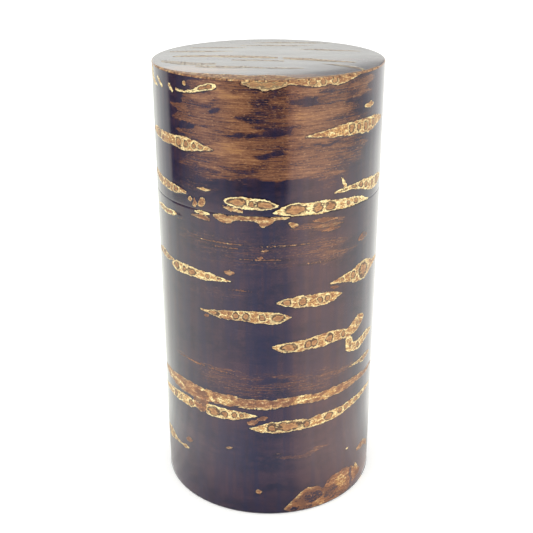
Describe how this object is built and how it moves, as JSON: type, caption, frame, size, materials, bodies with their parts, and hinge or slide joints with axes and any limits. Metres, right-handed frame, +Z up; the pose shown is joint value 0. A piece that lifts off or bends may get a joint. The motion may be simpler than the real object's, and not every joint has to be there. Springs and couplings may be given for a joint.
{
  "type": "tea caddy",
  "caption": "Tall round bark-clad tea caddy with a flush lift-off lid on a raised collar, and an inner lid with a turned knob that closes the mouth.",
  "frame": {"origin": "centre of the base, on the surface that the caddy stands on", "axes": "+Z up along the caddy's own axis; -Y is the side that the picture shows"},
  "size_m": [0.078, 0.078, 0.157],
  "materials": {
    "polished_bark": "polished",
    "lining_bark": "satin",
    "ply_wood": "matte",
    "board_wood": "matte",
    "knob_wood": "polished"
  },
  "bodies": {
    "caddy": {"body_bark": "polished_bark", "body_outer_ply": "ply_wood", "body_inner_ply": "ply_wood", "body_tube_lining": "lining_bark", "sleeve_ply": "ply_wood", "collar_bark": "lining_bark", "sleeve_lining": "lining_bark", "bottom_board": "board_wood", "bottom_bark": "polished_bark", "floor_lining": "lining_bark"},
    "lid": {"lid_bark": "polished_bark", "lid_outer_ply": "ply_wood", "lid_inner_ply": "ply_wood", "lid_lining": "lining_bark", "lid_top_board": "board_wood", "top_bark": "polished_bark", "ceiling_lining": "lining_bark"},
    "inner_lid": {"inner_lid_flange": "board_wood", "inner_lid_plug": "board_wood", "inner_lid_bark": "lining_bark", "inner_lid_edge_bark": "lining_bark", "inner_lid_underside_bark": "lining_bark", "inner_lid_knob": "knob_wood"}
  },
  "joints": [
    {"name": "lid_lift", "type": "slide", "parent": "caddy", "child": "lid", "axis": [0, 0, 1], "range_m": [0, 0.12]},
    {"name": "inner_lid_lift", "type": "slide", "parent": "caddy", "child": "inner_lid", "axis": [0, 0, 1], "range_m": [0, 0.06]}
  ],
  "couplings": [
    {"joint": "inner_lid_lift", "follows": "lid_lift", "ratio": 0.5}
  ]
}
